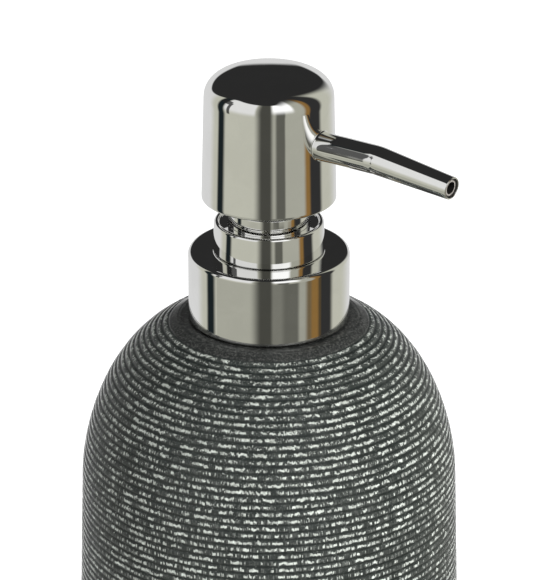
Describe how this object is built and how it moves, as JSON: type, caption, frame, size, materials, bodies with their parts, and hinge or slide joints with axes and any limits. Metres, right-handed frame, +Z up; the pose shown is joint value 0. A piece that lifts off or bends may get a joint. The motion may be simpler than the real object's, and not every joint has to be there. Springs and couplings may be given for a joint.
{
  "type": "soap pump dispenser",
  "caption": "Soap pump dispenser: dark ringed resin bottle with a screw-on chrome push pump and a side spout.",
  "frame": {"origin": "on the bottle's axis at the underside of the foot pad", "axes": "+Z up along the axis of the bottle and pump, +X along the spout as stored"},
  "size_m": [0.0831, 0.0778, 0.1801],
  "materials": {
    "resin": "matte cast resin, pale paint in broken strokes on the ring crests",
    "chrome": "polished plate",
    "white_plastic": "moulded",
    "clear_plastic": "natural, translucent",
    "foam": "closed-cell pad",
    "seal": "soft seal",
    "steel": "drawn wire",
    "ball_glass": "polished"
  },
  "bodies": {
    "bottle": {"bottle_body": "resin", "neck_insert": "white_plastic", "foot_pad": "foam"},
    "pump_body": {"neck_gasket": "seal", "pump_housing": "clear_plastic", "chaplet": "white_plastic", "guide_tube": "chrome", "guide_sleeve": "chrome", "ball_cage": "white_plastic", "dip_tube": "clear_plastic", "return_spring": "steel"},
    "closure": {"collar_shell": "chrome", "screw_cap": "white_plastic"},
    "inlet_valve": {"inlet_ball": "ball_glass"},
    "plunger": {"piston_cup": "seal"},
    "head": {"stem": "white_plastic", "stem_foot": "white_plastic", "head_core": "white_plastic", "head_shell": "chrome", "spout_liner": "clear_plastic"},
    "outlet_valve": {"outlet_ball": "ball_glass"}
  },
  "joints": [
    {"name": "pump_lift", "type": "slide", "parent": "bottle", "child": "pump_body", "axis": [0, 0, 1], "range_m": [0, 0.00634]},
    {"name": "closure_spin", "type": "hinge", "parent": "pump_body", "child": "closure", "pos_m": [0, 0, 0.1358], "axis": [0, 0, 1], "range_deg": [0, 540]},
    {"name": "pump_stroke", "type": "slide", "parent": "pump_body", "child": "plunger", "axis": [0, 0, -1], "range_m": [0, 0.0105], "stiffness_N_per_m": 760, "springref_m": -0.0065, "deforming": ["return_spring"]},
    {"name": "head_swivel", "type": "hinge", "parent": "plunger", "child": "head", "pos_m": [0, 0, 0.1671], "axis": [0, 0, 1], "continuous": true},
    {"name": "inlet_ball_lift", "type": "slide", "parent": "pump_body", "child": "inlet_valve", "axis": [0, 0, 1], "range_m": [0, 0.0014]},
    {"name": "outlet_ball_lift", "type": "slide", "parent": "head", "child": "outlet_valve", "axis": [0, 0, 1], "range_m": [0, 0.0012]}
  ],
  "couplings": [
    {"joint": "closure_spin", "follows": "pump_lift", "rad_per_m": 1484.3}
  ]
}
